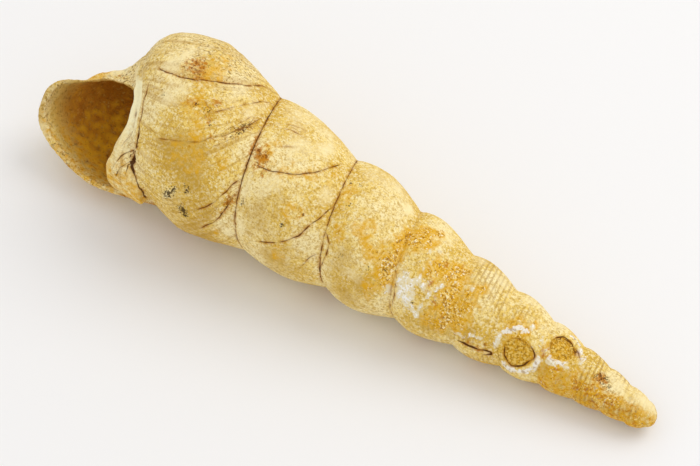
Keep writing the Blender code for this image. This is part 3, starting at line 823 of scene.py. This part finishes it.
# coats of colour, each list from the lowest up: (what shows it, where it starts and ends, what holds it
# in, colour, most of it), where a number means the grain of that size in mm; the stone's own grains are
# about 0.1 mm, and 0.22 mm is as coarse as the finest needs to be to show
WALL_COATS = (
    (0.9, 0.48, 0.7, None, "CDA134", 0.45),
    (0.38, 0.52, 0.6, None, "B58820", 0.55),
    (0.22, 0.52, 0.59, None, "AE8018", 0.5),
    (0.5, 0.47, 0.37, None, "FFF2C0", 0.5),
    (0.3, 0.47, 0.38, None, "FFF1BC", 0.6),
    ("coarse", 0.52, 0.66, "lines", "B98B36", 0.3),
    ("fine", 0.52, 0.64, "lines", "B08230", 0.45),
    ("thread", 0.6, 0, "threads", "A5741C", 0.7),
)
RIM_COATS = (
    (0.9, 0.36, 0.56, None, "F3E4B2", 0.62),
    (0.45, 0.52, 0.64, None, "B88A36", 0.6),
    (0.38, 0.545, 0.62, None, "74501A", 0.78),
)
# inside the hollow, pale near the mouth and browner deeper in: brown clay in part, painted shade in part
CLAY_AND_SHADE_COATS = (
    ("near", 0, 1, None, "D8B962", 0.95),
    ("mid", 0, 1, None, "B87A1A", 0.9),
    ("far", 0, 1, None, "AE6C12", 0.92),
    (2.2, 0.46, 0.64, "far", "A2520A", 0.65),
    (0.9, 0.5, 0.7, "mid", "C9922C", 0.5),
    (0.9, 0.46, 0.34, "near", "8F560A", 0.5),
    (0.38, 0.54, 0.66, "near", "6A3E08", 0.4),
    (0.45, 0.44, 0.32, "near", "E0B658", 0.4),
)
LINE_COATS = (
    ("fold", 0.54, 0.62, "lip", "A8741C", 0.32),
    ("thread", 0.5, 0, "threads", "8E5C0C", 0.2),
    (0.9, 0.34, 0.54, "suture stain", "B06C0A", 0.75),
    ("suture earth", 0, 1, None, "4E2600", 0.96),
    (0.9, 0.34, 0.54, "crack stain", "B06C0A", 0.75),
    ("crack earth", 0, 1, None, "4E2600", 0.96),
)

# coats that a field shows, broken up by grain: (field, size of the grain in mm, how far it breaks it up,
# where the coat starts and ends, colour, most of it)
PATTERNS = (
    ("tan", 2.2, 1.6, 0.1, 1, "BE963C", 0.66),
    ("pale", 2.2, 1.6, 0.1, 1.08, "FBEAB4", 0.8),
    ("ochre", 0.9, 2.2, 0.15, 0.75, "E2AA1C", 0.9),
    ("ochre", 0.45, 4, 0.88, 1.25, "B47A0E", 0.62),
    ("granules", 0.38, 4, 1.16, 1.36, "FFF2C8", 0.88),
    ("granules", 0.22, 4, 1, 1.24, "FFEBA0", 0.72),
    ("granules", 0.3, 4, 1.04, 1.26, "925C08", 0.7),
    # the inner lip's top: pale stone in part, painted highlight in part
    ("bleached_and_highlight", 0.5, 2, 0.15, 0.8, "FFF5C6", 0.94),
    ("crust", 0.9, 1.8, 0.35, 0.6, "EBDDB4", 0.92),
    ("crust", 0.38, 4, 0.75, 1.05, "FBF9F2", 0.9),
    ("crust", 0.3, 4, 1.15, 1.45, "A98440", 0.6),
    ("brim", 0.5, 3.6, 0.35, 0.75, "F6F0E0", 0.95),
    ("brim", 0.38, 4, 0.95, 1.25, "A97E2C", 0.65),
    ("plug", 0.5, 1.2, 0.3, 0.8, "CE9A22", 0.95),
    ("plug", 0.38, 4, 0.95, 1.3, "875A08", 0.65),
    ("plug", 0.3, 4, 1, 1.25, "F0CF70", 0.7),
    ("rust", 0.45, 3, 0.25, 0.9, "C07A18", 0.9),
    ("rust", 0.38, 3.6, 0.7, 1.2, "7A420A", 0.85),
    ("black", 0.22, 4.2, 0.36, 0.8, "40301A", 0.9),
)

# noise drawn out into ridges: (name, field across them, field along them, how much of that one counts,
# size across them in mm)
RIDGES = (("coarse", "growth", "rise", 0.06, 1.3), ("fine", "growth", "rise", 0.06, 0.55),
          ("fold", "rise", "growth", 0.1, 0.9))
# each tone of the clay inside, darker deeper in and painted shade in part there, and where it starts and is
# full, in mm in from the mouth
CLAY_AND_SHADE = (("near", 1.1, 3.8), ("mid", 2.8, 6.4), ("far", 4.6, 11))
# relief finer than the mesh: (what raises it, what holds it in, mm)
FINE_RELIEF = ((0.3, None, 0.05), (0.9, None, 0.12), ("fine", "lines", 0.07), ("thread", "threads", 0.12),
               ("fold", "lip", -0.35), ("suture earth", None, -0.02), ("crack earth", None, -0.02))


def ridge_signals(tree, signals):
    """Growth lines, the folds that run along the inner lip, and the spiral threads."""
    for name, across, along, counted, size in RIDGES:
        drawn_out = add(tree, "Math", {0: signals[along], 1: counted}, operation="MULTIPLY")
        where = add(tree, "CombineXYZ", {"X": signals[across], "Y": drawn_out})
        signals[name] = add(tree, "TexNoise", {"Vector": where, "Scale": 1 / size, "Detail": 2})
    turned = add(tree, "Math", {0: signals["rise"], 1: 2 * math.pi / THREAD_PITCH}, operation="MULTIPLY")
    wave = add(tree, "Math", {0: turned}, operation="SINE")
    signals["thread"] = add(tree, "Math", {0: wave, 1: 0.5, 2: 0.5}, operation="MULTIPLY_ADD")


def clay_and_shade_signals(tree, signals):
    """Brown clay still coats the hollow's wall, thinner towards the mouth; its darkening deeper in is
    painted shade in part.
    """
    clay_and_shade_depth = add(tree, "Math", {0: signals[0.9], 1: 3, 2: signals["deep"]}, operation="MULTIPLY_ADD")
    for name, low, high in CLAY_AND_SHADE:
        signals[name] = add(tree, "MapRange", {"Value": clay_and_shade_depth, "From Min": low, "From Max": high})


def earth_signals(tree, signals):
    """Dark earth in the sutures and the cracks, and an iron stain beside it, fainter on the lip."""
    clean = add(tree, "MapRange", {"Value": signals["lip"], "To Min": 1, "To Max": 0.35})
    for name, soft in (("suture", 0.055), ("crack", 0.05)):
        beside = add(tree, "Math", {0: signals[name]}, operation="ABSOLUTE")
        depth = add(tree, "Math", {0: signals[name + "_half"], 1: beside}, operation="SUBTRACT")
        held = add(tree, "MapRange", {"Value": signals[name + "_half"], "From Min": 0, "From Max": 0.05})
        stain = add(tree, "MapRange", {"Value": depth, "From Min": -0.28, "From Max": 0})
        stain = add(tree, "Math", {0: stain, 1: held}, operation="MULTIPLY")
        signals[name + " stain"] = add(tree, "Math", {0: stain, 1: clean}, operation="MULTIPLY")
        core = add(tree, "MapRange", {"Value": depth, "From Min": -soft, "From Max": soft})
        signals[name + " earth"] = add(tree, "Math", {0: core, 1: held}, operation="MULTIPLY")


def all_signals(tree):
    """What the coats read, by name or, for grain, by its size in mm."""
    signals = {name: add(tree, "Attribute", out="Fac", attribute_name=name) for name in SHOWN}
    where = add(tree, "TexCoord", out="Object")
    for size in sorted({row[1] for row in PATTERNS} | {BODY_GRAIN}):
        signals[size] = add(tree, "TexNoise", {"Vector": where, "Scale": 1 / (size * MM), "Detail": 3,
                                               "Roughness": 0.6})
    ridge_signals(tree, signals)
    clay_and_shade_signals(tree, signals)
    earth_signals(tree, signals)
    return signals


def body_colour(tree, signals):
    body = add(tree, "ValToRGB", {"Fac": signals[BODY_GRAIN]}, out="Color")
    ramp = body.node.color_ramp
    for position, code in BODY:
        stop = ramp.elements.new(position)
        stop.color = linear(code)
    for end in (0, -1):
        ramp.elements.remove(ramp.elements[end])
    return body


def pattern_coats(tree, signals):
    """The rows of PATTERNS as coats, each held to where its field is there at all."""
    coats = []
    for number, (name, size, depth, low, high, code, most) in enumerate(PATTERNS):
        grain = add(tree, "Math", {0: signals[size], 1: 0.5}, operation="SUBTRACT")
        signals["broken", number] = add(tree, "Math", {0: grain, 1: depth, 2: signals[name]},
                                        operation="MULTIPLY_ADD")
        signals["within", number] = add(tree, "MapRange", {"Value": signals[name], "From Min": 0.03,
                                                           "From Max": 0.18})
        coats.append((("broken", number), low, high, ("within", number), code, most))
    return coats


def coated(tree, signals, colour, coats):
    for shown_by, low, high, held_by, code, most in coats:
        shown = add(tree, "MapRange", {"Value": signals[shown_by], "From Min": low, "From Max": high,
                                       "To Max": most})
        if held_by:
            shown = add(tree, "Math", {0: shown, 1: signals[held_by]}, operation="MULTIPLY")
        colour = add(tree, "Mix", {0: shown, 6: colour, 7: linear(code)}, out=2, data_type="RGBA")
    return colour


def fine_relief(tree, signals):
    high = 0
    for raised_by, held_by, rise in FINE_RELIEF:
        value = signals[raised_by]
        if held_by:
            value = add(tree, "Math", {0: value, 1: signals[held_by]}, operation="MULTIPLY")
        high = add(tree, "Math", {0: value, 1: rise * MM, 2: high}, operation="MULTIPLY_ADD")
    return add(tree, "Bump", {"Height": high, "Distance": 1, "Strength": 0.8}, out="Normal")


# besides the stone's own colours, the finish paints in a highlight on the inner lip's top, shade deeper in
# the hollow and on the tip's lower side, and light low inside the hollow
def fossil():
    """Fossil limestone: shell turned to fine-grained stone, rubbed by soil, never polished.

    It is opaque and matt, cream where it is bleached and ochre where iron clay fills its grain; the
    cracks and sutures hold dark brown earth, and lime crust stands on it as a white skin.
    """
    made, tree, shader = shader_of("fossil_limestone")
    signals = all_signals(tree)
    colour = coated(tree, signals, body_colour(tree, signals), WALL_COATS)
    # the rim's coats, and the hollow's, which darken deeper in: brown clay in part, painted shade in part
    for over, coats in (("rim", RIM_COATS), ("inside", CLAY_AND_SHADE_COATS)):
        above = coated(tree, signals, colour, coats)
        colour = add(tree, "Mix", {0: signals[over], 6: colour, 7: above}, out=2, data_type="RGBA")
    colour = coated(tree, signals, colour, pattern_coats(tree, signals))
    colour = coated(tree, signals, colour, LINE_COATS)
    feed(tree, shader, {"Base Color": colour, "Normal": fine_relief(tree, signals), "Roughness": 0.88,
                        "IOR": 1.5, "Specular IOR Level": 0.15})
    return made


def pale_board():
    """Matt white card, a little warm, as on a studio table."""
    made, tree, shader = shader_of("matt_white_card")
    feed(tree, shader, {"Base Color": linear("F2F1EF"), "Roughness": 0.9})
    return made


# ---------- the stage and the camera

# metres and watts
FLOOR_ACROSS = 6.0
LAMP_AT, LAMP_ACROSS, LAMP_WATTS = (0.25, 0.35, 0.55), 0.55, 1.5
LAMP_COLOUR = (1.0, 0.985, 0.965)
WORLD_COLOUR, WORLD_STRENGTH = "FDFDFF", 0.86

# the camera: millimetres, and degrees of azimuth, elevation and roll
CAMERA_AIM, CAMERA_AWAY = (-3.6085, 5.5467, -0.86), 369
CAMERA_ANGLES = (31.8465, 50.8961, 1.7187)
FOCAL_PIXELS, FRAME_PIXELS, SENSOR = 2890, 700, 36


def stage():
    bpy.ops.mesh.primitive_plane_add(size=FLOOR_ACROSS)
    floor = bpy.context.object
    floor.name = "floor"
    floor.data.materials.append(pale_board())
    bpy.context.scene.view_settings.view_transform = "Standard"
    world = bpy.context.scene.world = bpy.data.worlds.new("studio")
    world.use_nodes = True
    background = world.node_tree.nodes["Background"].inputs
    background["Color"].default_value = linear(WORLD_COLOUR)
    background["Strength"].default_value = WORLD_STRENGTH
    bpy.ops.object.light_add(type="AREA", location=LAMP_AT)
    lamp = bpy.context.object
    lamp.data.shape, lamp.data.size, lamp.data.energy = "DISK", LAMP_ACROSS, LAMP_WATTS
    lamp.data.color = LAMP_COLOUR
    lamp.rotation_euler = (-lamp.location).to_track_quat("-Z", "Y").to_euler()


def camera():
    azimuth, elevation, roll = (math.radians(angle) for angle in CAMERA_ANGLES)
    back = Vector((math.sin(azimuth) * math.cos(elevation), -math.cos(azimuth) * math.cos(elevation),
                   math.sin(elevation)))
    bpy.ops.object.camera_add(location=Vector(CAMERA_AIM) * MM + CAMERA_AWAY * MM * back)
    made = bpy.context.object
    turn = back.to_track_quat("Z", "Y").to_matrix() @ Matrix.Rotation(roll, 3, "Z")
    made.rotation_euler = turn.to_euler()
    made.data.lens = FOCAL_PIXELS / FRAME_PIXELS * SENSOR
    made.data.clip_start, made.data.clip_end = 0.01, 20
    bpy.context.scene.camera = made


def build():
    shell = grown_shell()
    lip = grown_lip()
    hollow = grown_hollow()
    combine(hollow, mouth_scoop(), "UNION")
    trees = tree_of(shell), tree_of(hollow), tree_of(lip)
    combine(shell, hollow, "DIFFERENCE")
    combine(shell, lip, "UNION")
    remesh(shell, GRAIN)
    for piece in (lip, hollow, bpy.data.objects["scoop"]):
        bpy.data.objects.remove(piece)
    bpy.ops.object.select_all(action="DESELECT")
    wear_down(shell, *trees)
    shell.data.shade_smooth()
    shell.data.materials.clear()
    shell.data.materials.append(fossil())
    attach(shell, "root")
    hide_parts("shell")


# ---------- the scene

build()
stage()
camera()
